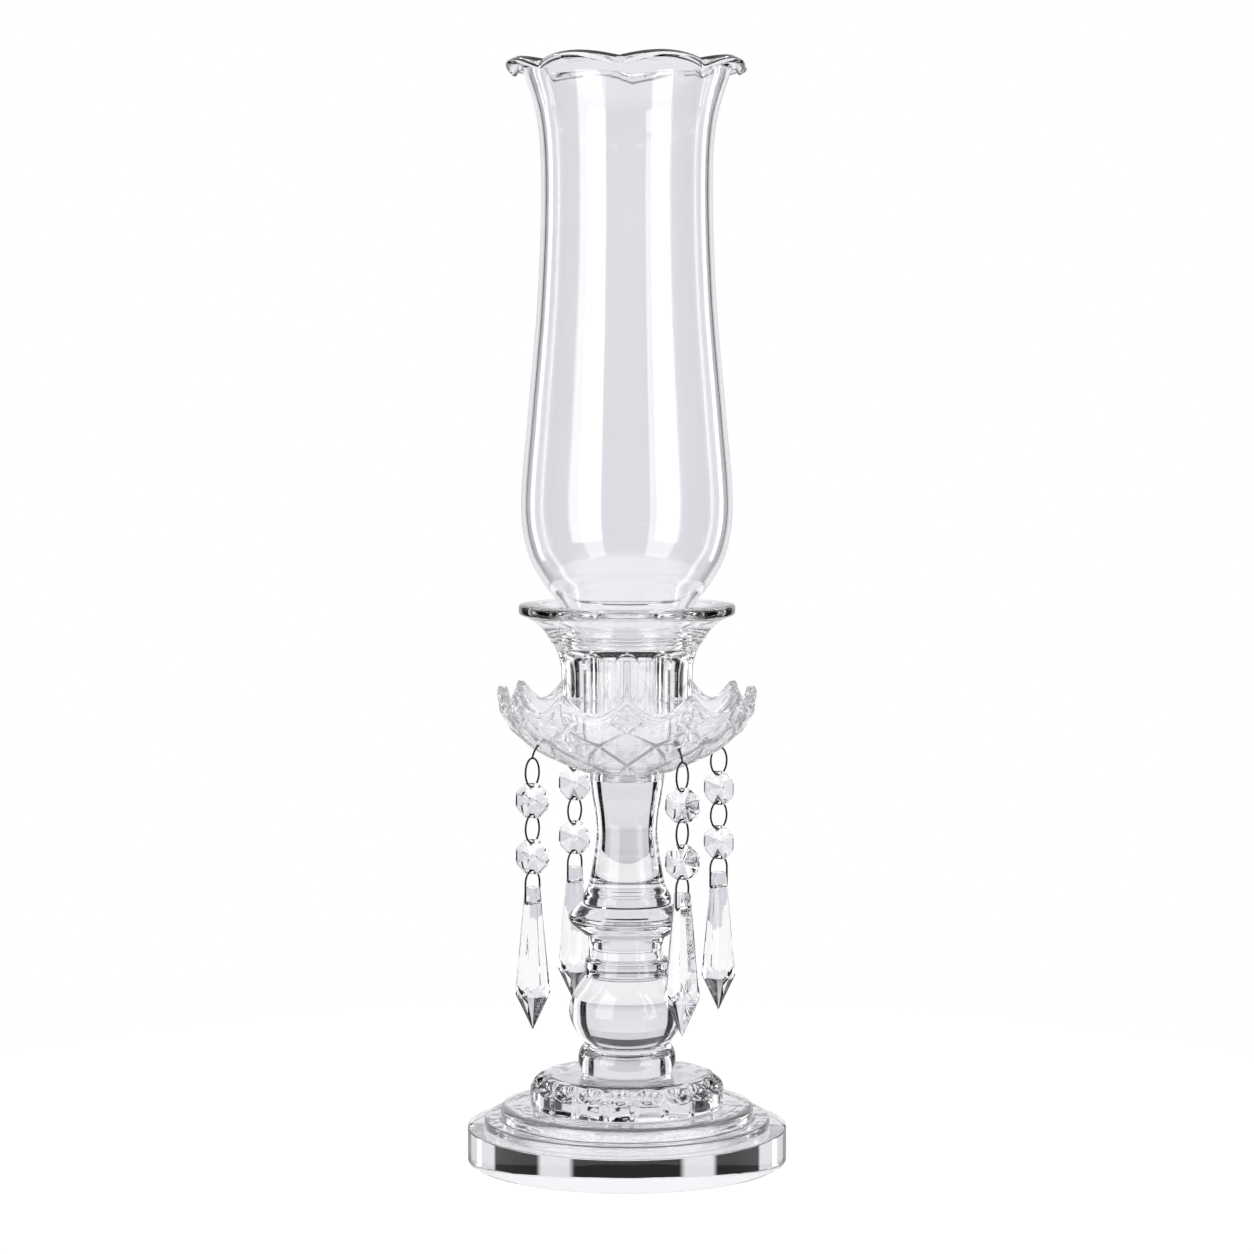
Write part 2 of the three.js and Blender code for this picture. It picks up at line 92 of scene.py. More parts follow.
def add_node(tree, kind, links=None, **settings):
    """Adds a node, sets its properties and fills its inputs with values or with other nodes' outputs."""
    node = tree.nodes.new(kind)
    for name, value in settings.items():
        setattr(node, name, value)
    for socket, value in (links or {}).items():
        if isinstance(value, bpy.types.NodeSocket):
            tree.links.new(value, node.inputs[socket])
        else:
            node.inputs[socket].default_value = value
    return node


def new_object(name, data):
    thing = bpy.data.objects.new(name, data)
    bpy.context.scene.collection.objects.link(thing)
    return thing


def linear(colour):
    """An sRGB colour such as F2F4F6 as linear red, green, blue and alpha."""
    shares = [int(colour[i:i + 2], 16) / 255 for i in (0, 2, 4)]
    return [s / 12.92 if s <= 0.04045 else ((s + 0.055) / 1.055) ** 2.4 for s in shares] + [1.0]


def geometry_tree(name, inputs):
    """An empty Geometry Nodes tree with named inputs, its input node and its output node."""
    tree = bpy.data.node_groups.new(name, "GeometryNodeTree")
    for label, kind in inputs.items():
        tree.interface.new_socket(label, in_out="INPUT", socket_type="NodeSocket" + kind)
    tree.interface.new_socket("Piece", in_out="OUTPUT", socket_type="NodeSocketGeometry")
    return tree, add_node(tree, "NodeGroupInput"), add_node(tree, "NodeGroupOutput")


def grown(name, seed_mesh, tree, **values):
    """The plain mesh that a Geometry Nodes tree makes of a seed mesh."""
    seed = new_object(name, seed_mesh)
    modifier = seed.modifiers.new("form", "NODES")
    modifier.node_group = tree
    for item in tree.interface.items_tree:
        if item.in_out == "INPUT" and item.name in values:
            modifier[item.identifier] = values[item.name]
    bpy.context.view_layer.update()
    view = bpy.context.evaluated_depsgraph_get()
    mesh = bpy.data.meshes.new_from_object(seed.evaluated_get(view))
    bpy.data.objects.remove(seed)
    return mesh


def round_the_axis():
    """A tree that repeats one sector of a piece round the upright axis and closes its seams."""
    tree, given, made = geometry_tree(
        "round_the_axis", {"Sector": "Geometry", "Copies": "Int", "Seam": "Float", "Glass": "Material"}
    )
    places = add_node(tree, "GeometryNodeMeshLine", {"Count": given.outputs["Copies"], "Offset": (0, 0, 0)})
    index = add_node(tree, "GeometryNodeInputIndex")
    share = add_node(
        tree, "ShaderNodeMath", {0: index.outputs[0], 1: given.outputs["Copies"]}, operation="DIVIDE"
    )
    angle = add_node(tree, "ShaderNodeMath", {0: share.outputs[0], 1: math.tau}, operation="MULTIPLY")
    turn = add_node(tree, "FunctionNodeAxisAngleToRotation", {"Axis": (0, 0, 1), "Angle": angle.outputs[0]})
    copies = add_node(
        tree, "GeometryNodeInstanceOnPoints",
        {"Points": places.outputs[0], "Instance": given.outputs["Sector"], "Rotation": turn.outputs[0]},
    )
    real = add_node(tree, "GeometryNodeRealizeInstances", {0: copies.outputs[0]})
    closed = add_node(
        tree, "GeometryNodeMergeByDistance",
        {"Geometry": real.outputs[0], "Distance": given.outputs["Seam"]},
    )
    glazed = add_node(
        tree, "GeometryNodeSetMaterial", {"Geometry": closed.outputs[0], "Material": given.outputs["Glass"]}
    )
    tree.links.new(glazed.outputs[0], made.inputs[0])
    return tree


sector_tree = round_the_axis()


def turned(name, section, copies, columns, level, glass, crease=32):
    """A closed mesh round the upright axis, in equal sectors. section(place) is its outline in millimetres,
    up the outside, at a place from -1 to 1 across a sector. Edges over crease degrees stay sharp."""
    corners = []
    faces = []
    outlines = [section(2 * column / columns - 1) for column in range(columns + 1)]
    rows = len(outlines[0])
    for column, outline in enumerate(outlines):
        angle = math.pi / copies * (2 * column / columns - 1)
        for radius, height in outline:
            place = (radius * math.sin(angle), -radius * math.cos(angle), level + height)
            corners.append(Vector(place) * MM)
    for column in range(columns):
        for row in range(rows - 1):
            a = column * rows + row
            b = a + rows
            faces.append((a, b, b + 1, a + 1))
    sector = bpy.data.meshes.new(name)
    sector.from_pydata(corners, [], faces, shade_flat=False)
    mesh = grown(name, sector, sector_tree, Copies=copies, Seam=seam * MM, Glass=glass)
    mesh.name = name
    mesh.shade_smooth()
    mesh.set_sharp_from_angle(angle=math.radians(crease))
    return mesh


def fitted(name, mesh, body, slot, *nodes):
    """The finished piece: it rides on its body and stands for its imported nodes."""
    piece = new_object(name, mesh)
    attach(piece, body)
    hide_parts(*nodes)
    return piece


def clear_glass(name, index, pale, deep, ripple, streak, bloom, clear=1.0):
    """Clear glass of one kind. ripple and streak are each a size and a depth in millimetres: ripples are
    the slow waves of the mould or the breath, and streaks run round the axis, as the polishing wheel did.
    bloom is the roughness of the least polished patches, and clear is the share of light that passes, where
    the rest is scattered by a faint bloom on the surface."""
    material = bpy.data.materials.new(name)
    material.use_nodes = True
    tree = material.node_tree
    tree.nodes.clear()
    place = add_node(tree, "ShaderNodeTexCoord").outputs["Object"]
    ripples = add_node(
        tree, "ShaderNodeTexNoise", {"Vector": place, "Scale": 1 / (ripple[0] * MM), "Detail": 1.0}
    )
    flat = add_node(tree, "ShaderNodeVectorMath", {0: place, 1: (1, 1, 0)}, operation="MULTIPLY")
    radius = add_node(tree, "ShaderNodeVectorMath", {0: flat.outputs[0]}, operation="LENGTH")
    way = add_node(tree, "ShaderNodeVectorMath", {0: flat.outputs[0]}, operation="NORMALIZE")
    spoke = add_node(tree, "ShaderNodeCombineXYZ", {2: radius.outputs["Value"]})
    round_place = add_node(
        tree, "ShaderNodeVectorMath",
        {0: way.outputs[0], 1: (streak_stretch * MM,) * 3, 2: spoke.outputs[0]}, operation="MULTIPLY_ADD",
    )
    level = add_node(tree, "ShaderNodeSeparateXYZ", {0: place})
    streaks = add_node(
        tree, "ShaderNodeTexNoise",
        {
            "Vector": round_place.outputs[0],
            "W": level.outputs["Z"],
            "Scale": 1 / (streak[0] * MM),
            "Detail": 2.0,
        },
        noise_dimensions="4D",
    )
    slow = add_node(tree, "ShaderNodeMath", {0: ripples.outputs[0], 1: ripple[1]}, operation="MULTIPLY")
    relief = add_node(
        tree, "ShaderNodeMath", {0: streaks.outputs[0], 1: streak[1], 2: slow.outputs[0]},
        operation="MULTIPLY_ADD",
    )
    bump = add_node(tree, "ShaderNodeBump", {"Height": relief.outputs[0], "Distance": MM})
    polish = add_node(
        tree, "ShaderNodeMapRange",
        {"Value": streaks.outputs[0], "From Min": 0.45, "From Max": 0.75, "To Min": 0.0, "To Max": bloom},
    )
    tint = add_node(
        tree, "ShaderNodeMix", {0: ripples.outputs[0], 6: linear(pale), 7: linear(deep)}, data_type="RGBA"
    )
    surface = add_node(
        tree, "ShaderNodeBsdfPrincipled",
        {
            "Base Color": tint.outputs[2],
            "Roughness": polish.outputs[0],
            "IOR": index,
            "Transmission Weight": clear,
            "Normal": bump.outputs[0],
        },
    )
    shade = add_node(tree, "ShaderNodeBsdfTransparent", {"Color": linear("F8F8F9")})
    path = add_node(tree, "ShaderNodeLightPath")
    mixed = add_node(
        tree, "ShaderNodeMixShader",
        {0: path.outputs["Is Shadow Ray"], 1: surface.outputs[0], 2: shade.outputs[0]},
    )
    add_node(tree, "ShaderNodeOutputMaterial", {"Surface": mixed.outputs[0]})
    return material


# Pressed lead-free crystal: very clear, brilliant at its edges, with the faint slow ripples that the
# steel mould leaves in a thick piece and fine level streaks from the polishing wheel.
pressed_crystal = clear_glass(
    "pressed_crystal", 1.53, pale="F2F2F4", deep="EEEEF1", ripple=(14, 0.014), streak=(6, 0.004),
    bloom=0.01,
)


def base_plate(place):
    radius = wide("base_plate")
    height = tall("base_plate")
    return filleted([
        (0, 0, 0),
        (radius, 0, plate_edge),
        (radius, height, plate_edge),
        (0, height, 0),
    ])


round_copies = 12
round_columns = 16


def stem_piece(node, section, glass=pressed_crystal, copies=round_copies, columns=round_columns, turn=0):
    mesh = turned(node + "_glass", section, copies, columns, low(node), glass)
    mesh.transform(Matrix.Rotation(math.radians(turn), 4, "Z"))
    return fitted(node + "_glass", mesh, "stem", "pressed_crystal", node)


stem_piece("base_plate", base_plate)

# The stepped foot is one pressing with two low round steps, the upper one with a wide soft edge.
# Its treads were lapped on a wheel, which left shallow broken streaks all round. It is bonded to the plate.

lower_rise = 3.3
upper_radius = 51
soft_edge = 2.4
foot_edge = 0.8

# The same crystal with the marks of lapping, drawn wider than the real ones so that they show.
lapped_crystal = clear_glass(
    "lapped_crystal", 1.53, pale="FDFDFE", deep="F6F8F8", ripple=(11, 0.1), streak=(1.9, 0.08), bloom=0.02,
    clear=0.95,
)


def stepped_foot(place):
    radius = wide("stepped_foot")
    height = tall("stepped_foot")
    return filleted([
        (0, 0, 0),
        (radius, 0, 0.4),
        (radius, lower_rise, foot_edge),
        (upper_radius, lower_rise, 0.5),
        (upper_radius, height, soft_edge),
        (0, height, 0),
    ])


stem_piece("stepped_foot", stepped_foot, lapped_crystal)

# The petal ring is a pressed dome with a plain band at its foot. Twenty petals are cut into its
# shoulder: each is a scooped hollow with a crisp rim, and a small notch sits between their feet.

petals = 20
band = 6
petal_top = 30.9
petal_depth = 2.3
petal_turn = -4.5
petal_width = 0.86
petal_middle = 0.44
petal_half = 0.38
notch_depth = 0.6
notch_width = 0.3
notch_height = 0.26
shoulder_rows = 40


def petal_ring(place):
    radius = wide("petal_ring")
    height = tall("petal_ring")
    out = radius - petal_top
    up = height - band
    shoulder = []
    for row in range(shoulder_rows + 1):
        share = row / shoulder_rows
        turn = math.radians(90 * share)
        normal = Vector((up * math.cos(turn), out * math.sin(turn))).normalized()
        scoop = 1 - (place / petal_width) ** 2 - ((share - petal_middle) / petal_half) ** 2
        notch = 1 - (1 - abs(place)) / notch_width - share / notch_height
        cut = petal_depth * max(scoop, 0) + notch_depth * max(notch, 0)
        uncut = Vector((petal_top + out * math.cos(turn), band + up * math.sin(turn)))
        shoulder.append(uncut - normal * cut)
    return [
        *filleted([(0, 0, 0), (radius, 0, 0.5), (radius, band, 0)])[:-1],
        *shoulder,
        (petal_top - 0.6, height),
        (0, height),
    ]


stem_piece("petal_ring", petal_ring, copies=petals, columns=32, turn=petal_turn)

# The foot ring, the ball, the collar, the knop and the column are solid turned pieces of the same
# pressing, bonded face to face. Their flat faces are ground, and everything between them is fire polished.

ring_end = 15.4
ring_fullness = 0.72


def through(points, steps):
    """A smooth run of (radius, height) points through the given ones."""
    ends = [Vector(p) for p in (points[0], *points, points[-1])]
    spans = len(points) - 1
    run = []
    for step in range(steps + 1):
        place = step * spans / steps
        i = min(int(place), spans - 1)
        t = place - i
        a, b, c, d = ends[i:i + 4]
        run.append((2 * b + (c - a) * t + (2 * a - 5 * b + 4 * c - d) * t ** 2
                    + (3 * b - a - 3 * c + d) * t ** 3) / 2)
    return run


def foot_ring(place):
    radius = wide("foot_ring")
    height = tall("foot_ring")
    side = []
    for turn in range(-90, 91, 6):
        swell = max(math.cos(math.radians(turn)), 0) ** ring_fullness
        rise = math.sin(math.radians(turn))
        side.append((ring_end + (radius - ring_end) * swell, height / 2 * (1 + rise)))
    return [(0, 0), (ring_end - 0.4, 0), *side, (ring_end - 0.4, height), (0, height)]


stem_piece("foot_ring", foot_ring)

ball_bottom = 16.7
ball_top = 16.9
ball_middle = 13.4


def stem_ball(place):
    radius = wide("stem_ball")
    height = tall("stem_ball")
    side = through([
        (ball_bottom, 0),
        (radius - 2, ball_middle / 2),
        (radius, ball_middle),
        (radius - 1.8, (ball_middle + height) / 2),
        (ball_top, height),
    ], 36)
    return [(0, 0), (ball_bottom - 0.5, 0), *side, (ball_top - 0.5, height), (0, height)]


stem_piece("stem_ball", stem_ball)

collar_disc = 7
collar_neck = 14.1
collar_top = 15.4


def stem_collar(place):
    radius = wide("stem_collar")
    height = tall("stem_collar")
    neck = through([
        (collar_neck + 0.7, collar_disc + 1),
        (collar_neck, (collar_disc + height) / 2),
        (collar_top, height),
    ], 14)
    disc = filleted([
        (0, 0, 0),
        (radius, 0, 1.4),
        (radius, collar_disc + 0.4, 1.6),
        (collar_neck + 1.2, collar_disc + 0.4, 0),
    ])[:-1]
    return [*disc, *neck, (collar_top - 0.5, height), (0, height)]


stem_piece("stem_collar", stem_collar)

knop_bottom = 16.6
knop_top = 18
knop_middle = 7.6


def stem_knop(place):
    radius = wide("stem_knop")
    height = tall("stem_knop")
    side = through([
        (knop_bottom, 0),
        (radius - 1.6, knop_middle * 0.6),
        (radius, knop_middle),
        (radius - 2.2, (knop_middle + height) / 2),
        (knop_top, height),
    ], 28)
    return [(0, 0), (knop_bottom - 0.5, 0), *side, (knop_top - 0.5, height), (0, height)]


stem_piece("stem_knop", stem_knop)

column_foot = 17.8
column_waist = 12.2
waist_height = 28.6
column_top = 15
socket_radius = 9.4
socket_depth = 3.4


def stem_column(place):
    height = tall("stem_column")
    side = through([
        (column_foot, 0),
        (column_foot - 0.2, 2.6),
        ((column_foot + column_waist) / 2, waist_height * 0.3),
        (column_waist, waist_height),
        (column_top - 1, height * 0.82),
        (column_top, height - 2.7),
    ], 48)
    top = filleted([
        (column_top, height - 2.7, 0),
        (column_top, height, 0.9),
        (socket_radius, height, 0.3),
        (socket_radius, height - socket_depth, 0.3),
        (0, height - socket_depth, 0),
    ])[1:]
    return [(0, 0), (column_foot - 0.5, 0), *side, *top]


stem_piece("stem_column", stem_column)

# The drip dish is a bowl of cut crystal with twelve pointed scallops. A flat band follows the rim,
# a veined leaf sits under each point, and crossing mitre cuts leave a net of raised ribs below.

scallops = 12
scallop_columns = 56
dish_foot = 18
dish_wall = 3
rim_growth = 1.4
growth_start = 0.62
dish_hole = 9.4
scallop_fall = 7.6
scallop_lean = 0.2
plain_share = 0.45
outer_rows = 90
uncut_foot = 0.03
rim_band = 0.945
rim_bevel = 1.1
rim_step = 0.007
leaf_foot = 0.72
leaf_wide = 0.865
leaf_half = 0.42
net_step = 0.18
cell_depth = 0.7
rib_top = 0.35
rib_side = 0.9
leaf_share = 0.7
leaf_stem = 0.5
vein_depth = 0.45
vein_count = 60
vein_slant = 9
groove_depth = 0.8
groove_middle = 0.928
groove_half = 0.018
hook_hole = 1.0
hook_place = 41
inner_start = 2
inner_stop = 8
inner_step = 4
lip_drop = 0.5
lip_edge = 0.3
# Where each garland hangs, counted round the axis from the front, and which way its beads face.
garlands = {
    "front_left": (-60, -18),
    "front_right": (30, -14),
    "back_right": (120, -32),
    "back_left": (210, -20),
}


# The dish is cut and then dipped in acid, which clears the cuts and leaves a faint white bloom in them.
dipped_crystal = clear_glass(
    "dipped_crystal", 1.53, pale="FEFEFE", deep="F6F6F8", ripple=(14, 0.02), streak=(6, 0.003), bloom=0.02,
    clear=0.88,
)


def evenly(run, count):
    """The same run with its points an even way apart."""
    lengths = [0.0]
    for before, after in zip(run, run[1:]):
        lengths.append(lengths[-1] + (after - before).length)
    spaced = []
    i = 0
    for step in range(count + 1):
        want = lengths[-1] * step / count
        while i < len(run) - 2 and lengths[i + 1] < want:
            i += 1
        share = (want - lengths[i]) / (lengths[i + 1] - lengths[i])
        spaced.append(run[i].lerp(run[i + 1], share))
    return spaced


def normals(run):
    """The outward way at each point of a run that goes up the outside of a piece."""
    ways = []
    for i in range(len(run)):
        along = (run[min(i + 1, len(run) - 1)] - run[max(i - 1, 0)]).normalized()
        ways.append(Vector((along.y, -along.x)))
    return ways


dish_height = tall("drip_dish")
dish_spread = wide("drip_dish") - dish_foot
dish_run = evenly(through([
    (dish_foot, 0),
    (dish_foot + 0.35 * dish_spread, 0.14 * dish_height),
    (dish_foot + 0.64 * dish_spread, 0.32 * dish_height),
    (dish_foot + 0.85 * dish_spread, 0.53 * dish_height),
    (dish_foot + 0.97 * dish_spread, 0.77 * dish_height),
    (dish_foot + dish_spread, dish_height),
], 240), outer_rows)


def scalloped(point, place):
    """The wall above its plain part is drawn down between the points of the rim."""
    plain = dish_height * plain_share
    if point.y <= plain:
        return point
    fall = scallop_fall * abs(math.sin(math.pi / 2 * place)) * (point.y - plain) / (dish_height - plain)
    return point - Vector((scallop_lean * fall, fall))


def rib_place(share):
    """Where the rib stands between the middle of a sector, 0, and its side, 1."""
    if share >= leaf_foot:
        rise = (share - leaf_foot) / (leaf_wide - leaf_foot)
        fall = (1 - share) / (1 - leaf_wide)
        return leaf_half * max(min(rise, fall), 0)
    place = ((leaf_foot - share) / net_step) ** (2 / 3) % 2
    return min(place, 2 - place)


def softly(share):
    """From 0 to 1 with a soft start and a soft end."""
    share = min(max(share, 0), 1)
    return share * share * (3 - 2 * share)


def dish_cut(place, share, radius):
    """How deep the cutting wheel went, in millimetres."""
    if share > rim_band:
        return rim_bevel * ((share - rim_band) / (1 - rim_band)) ** 2
    if share < uncut_foot:
        return 0
    half_sector = radius * math.pi / scallops
    gap = (abs(place) - rib_place(share)) * half_sector
    fade = min((rim_band - share) / rim_step, 1)
    groove = groove_depth * max(1 - abs(share - groove_middle) / groove_half, 0)
    depth = max(cell_depth * softly((abs(gap) - rib_top) / rib_side), groove)
    if share > leaf_foot and gap < 0:
        stem = 1 - min(abs(place) * half_sector / leaf_stem, 1)
        veins = 0.5 + 0.5 * math.cos((share * vein_count - abs(place) * vein_slant) * 2)
        leaf = min(depth, cell_depth * leaf_share)
        depth = leaf + vein_depth * (stem - 0.5 * veins) * min(abs(gap), 1)
    return depth * fade


def dish_thickness(share):
    """The wall is thicker towards the rim."""
    return dish_wall + rim_growth * max(share - growth_start, 0) / (1 - growth_start)


def drip_dish(place):
    """The cut outside, the polished edge of the rim, and a plain inside with fewer points."""
    outside = []
    for i, (point, way) in enumerate(zip(dish_run, normals(dish_run))):
        cut = dish_cut(place, i / outer_rows, point.x)
        outside.append(scalloped(point - way * cut, place))
    inner = [
        point - way * dish_thickness(i / outer_rows)
        for i, (point, way) in enumerate(zip(dish_run, normals(dish_run)))
    ]
    inner = [p for p in inner[:-inner_stop] if p.x > dish_foot + inner_start][::inner_step]
    inner = [scalloped(p, place) for p in inner]
    lip = scalloped(dish_run[-1], place) - Vector((dish_thickness(1), lip_drop))
    edge = [outside[-1] - Vector((lip_edge, 0)), lip + Vector((lip_drop, lip_drop))]
    inner.append(lip)
    return [
        (dish_hole, 0),
        *outside,
        *edge,
        *reversed(inner),
        (dish_foot, dish_wall),
        (dish_hole, dish_wall),
        (dish_hole, 0),
    ]


def drilled(mesh, rods):
    """The mesh with round holes. Each rod is its two ends in millimetres and its radius."""
    drills = bmesh.new()
    for start, end, radius in rods:
        start, end = Vector(start) * MM, Vector(end) * MM
        turn = (end - start).to_track_quat("Z", "Y").to_matrix().to_4x4()
        bmesh.ops.create_cone(
            drills, cap_ends=True, segments=20, radius1=radius * MM, radius2=radius * MM,
            depth=(end - start).length, matrix=Matrix.Translation((start + end) / 2) @ turn,
        )
    cutter_mesh = bpy.data.meshes.new("drills")
    drills.to_mesh(cutter_mesh)
    drills.free()
    cutter = new_object("drills", cutter_mesh)
    blank = new_object("blank", mesh)
    hole = blank.modifiers.new("holes", "BOOLEAN")
    hole.operation = "DIFFERENCE"
    hole.solver = "EXACT"
    hole.object = cutter
    bpy.context.view_layer.update()
    view = bpy.context.evaluated_depsgraph_get()
    result = bpy.data.meshes.new_from_object(blank.evaluated_get(view))
    for each in (cutter, blank):
        bpy.data.objects.remove(each)
    return result


dish_mesh = turned(
    "drip_dish_glass", drip_dish, scallops, scallop_columns, low("drip_dish"), dipped_crystal, crease=24
)
hole_row = min(range(len(dish_run)), key=lambda i: abs(dish_run[i].x - hook_place))
hole_way = normals(dish_run)[hole_row]
hole_rods = []
for angle, _ in garlands.values():
    out = Vector((math.sin(math.radians(angle)), -math.cos(math.radians(angle)), 0))
    mouth = out * dish_run[hole_row].x + Vector((0, 0, low("drip_dish") + dish_run[hole_row].y))
    way = out * hole_way.x + Vector((0, 0, hole_way.y))
    hole_rods.append((mouth + way * 2, mouth - way * (dish_wall + 2), hook_hole))
fitted("drip_dish_glass", drilled(dish_mesh, hole_rods), "dish", "pressed_crystal", "drip_dish")

# The candle cup is pressed, with twelve arched flutes round its body, a moulded ring and a wide flange.
# Inside it has the seat that the shade stands in, a bowl and the candle's socket, and a short peg below.

flutes = 12
flute_columns = 36
cup_foot = 16
cup_body = 26.2
wall_start = 11
wall_top = 38
wall_spread = 0.4
flange_thick = 4.6
cup_mouth = 34.5
flute_depth = 0.9
flute_width = 2 / 3
flute_top = 42
flute_arch = 4
flute_edge = 0.6
flute_foot = 4
flute_curve = 0.35
moulding_levels = (48.9, 50.9)
moulding_rise = 0.4
moulding_half = 0.45
peg_radius = 9
seat_depth = 10.4
seat_radius = 24.9
seat_width = 4.4
bowl_depth = 8
candle_radius = 11.3
candle_depth = 25
flute_rows = 28
cup_height = low("candle_cup") + tall("candle_cup") - low("drip_dish") - dish_wall - 0.1
peg_reach = tall("candle_cup") - cup_height


def flute_cut(place, height):
    """Scooped flutes with narrow flat ribs between them and round arches at their tops."""
    across = abs(place) / flute_width
    if across >= 1:
        return 0
    arch = flute_top + flute_arch * math.sqrt(1 - across ** 2) - height
    foot = (height - flute_foot) / flute_foot
    deep = flute_depth * min(max(arch / flute_edge, 0), 1) * min(max(foot, 0), 1)
    return deep * (1 - across ** 2) ** flute_curve


def moulding(height):
    """Two low round lines that the mould left above the flutes."""
    lines = [math.exp(-((height - level) / moulding_half) ** 2) for level in moulding_levels]
    return moulding_rise * sum(lines)


def candle_cup(place):
    radius = wide("candle_cup")
    flange_bottom = cup_height - flange_thick
    seat = cup_height - seat_depth
    floor = seat - bowl_depth
    flange_root = (radius - 2, flange_bottom - 0.1)
    body = through([(cup_foot, 0), (cup_foot + 7, 2.4), (cup_body, wall_start)], 14)
    wall_foot = Vector((cup_body, wall_start))
    wall_head = Vector((cup_body + wall_spread, wall_top))
    wall = [wall_foot.lerp(wall_head, row / flute_rows) for row in range(1, flute_rows)]
    outside = [p - Vector((flute_cut(place, p.y), 0)) for p in body + wall]
    flare = through([
        wall_head,
        (cup_body + 2, 45),
        (cup_body + 5.6, flange_bottom - 8),
        (cup_body + 10.2, flange_bottom - 3),
        flange_root,
    ], 60)[1:]
    flare = [p + Vector((moulding(p.y) - flute_cut(place, p.y), 0)) for p in flare]
    rim = filleted([
        (*flange_root, 0),
        (radius, flange_bottom + 0.5, 1.3),
        (radius, cup_height, 1.6),
        (cup_mouth, cup_height, 1.0),
        (seat_radius, seat + 1.6, 0.8),
        (seat_radius, seat, 0.4),
        (seat_radius - seat_width, seat, 0.6),
        (seat_radius - seat_width - 1.6, floor + 3, 1.2),
        (candle_radius, floor, 0.6),
        (candle_radius, floor - candle_depth, 0.5),
        (0, floor - candle_depth, 0),
    ])[1:]
    peg = filleted([
        (0, -peg_reach, 0),
        (peg_radius, -peg_reach, 0.6),
        (peg_radius, 0, 0.3),
        (cup_foot, 0, 0),
    ])[:-1]
    return [*peg, *outside, *flare, *rim]


# The cup is of the same pressing as the stem in a thinner wall, so it looks whiter.
bright_crystal = clear_glass(
    "bright_crystal", 1.53, pale="FEFEFE", deep="FAFAFB", ripple=(14, 0.02), streak=(6, 0.003), bloom=0.008,
)
cup_mesh = turned(
    "candle_cup_glass", candle_cup, flutes, flute_columns,
    low("candle_cup") + peg_reach, bright_crystal, crease=26,
)
fitted("candle_cup_glass", cup_mesh, "cup", "pressed_crystal", "candle_cup")

# The hurricane shade is blown into a mould and opened at the top while hot: the rim is pressed into
# eight lobes and its lip curls over. It stands loose in the cup's seat.

shade_neck = 23.7
shade_widest = 42.3
shade_narrow = 34.1
shade_lip = 47.4
shade_height = 225.4
shade_wall = 2.2
lobes = 8
lobe_columns = 24
lobe_rise = 2.85
rim_notch = 3.4
shade_turn = -4
ruffle_height = 18
wall_rows = 90

# Blown soda-lime glass: clear and thin, with long slow waves from the blowing and hardly any streaks.
blown_glass = clear_glass(
    "blown_glass", 1.5, pale="FEFEFF", deep="FAFAFC", ripple=(45, 0.05), streak=(30, 0.01), bloom=0.004,
)


def bead_end(start, end, steps=6):
    """A half round from one side of a wall to the other."""
    centre = (start + end) / 2
    spoke = start - centre
    return [centre + Matrix.Rotation(math.pi * step / steps, 2) @ spoke for step in range(1, steps)]


def ruffled(point, place):
    start = shade_height - ruffle_height
    if point.y <= start or point.x <= shade_narrow:
        return point
    share = min((point.x - shade_narrow) / (shade_lip - shade_narrow), 1)
    lobe = math.cos(math.pi / 2 * place)
    turn_in = rim_notch * share ** 2 * (1 - lobe)
    return point + Vector((-turn_in, lobe_rise * share ** 2 * (lobe - 0.6)))


shade_run = evenly(through([
    (shade_neck, 0),
    (shade_neck + 0.9, 6),
    (shade_neck + 4.6, 12),
    (shade_widest - 8.6, 19),
    (shade_widest - 2.6, 31),
    (shade_widest, 50),
    (shade_widest - 2.6, 84),
    (shade_narrow + 1.6, 130),
    (shade_narrow, 172),
    (shade_narrow + 1.2, 200),
    (shade_narrow + 6.4, shade_height - 7.4),
    (shade_lip - 3.6, shade_height - 2.4),
    (shade_lip, shade_height - 4),
], 400), wall_rows)


def hurricane_shade(place):
    inside = [p - way * shade_wall for p, way in zip(shade_run, normals(shade_run))][::-1]
    lip = bead_end(shade_run[-1], inside[0])
    foot = bead_end(inside[-1], shade_run[0])
    return [ruffled(p, place) for p in (*shade_run, *lip, *inside, *foot, shade_run[0])]


shade_mesh = turned(
    "hurricane_shade_glass", hurricane_shade, lobes, lobe_columns,
    low("hurricane_shade"), blown_glass, crease=40,
)
shade_mesh.transform(Matrix.Rotation(math.pi / lobes + math.radians(shade_turn), 4, "Z"))
fitted("hurricane_shade_glass", shade_mesh, "shade", "blown_glass", "hurricane_shade")

# The garlands' hooks and links are steel wire, bent on a jig and plated. The plating's colour is near black,
# a painted reflection of a dark room in bright plate. The hook hangs by a round head inside the dish, an
# oval link joins the beads, and one with a straight foot holds the drop.

# The wire's radius.
wire = 0.4
wire_sides = 12
wire_grain = 0.5
loop_width = 9.2
loop_height = 12.2
hook_throw = 2.2
hook_drop = 4.4
hook_head = 1.3
head_gap = 0.1
bead_across = 14
bead_inset = 1.55
link_height = 13.6
link_width = 9.6
link_arch = 5.2
link_corner = 0.7
loop_twist = 20
loop_half = loop_height / 2 - wire
bead_half = bead_across / 2 - bead_inset


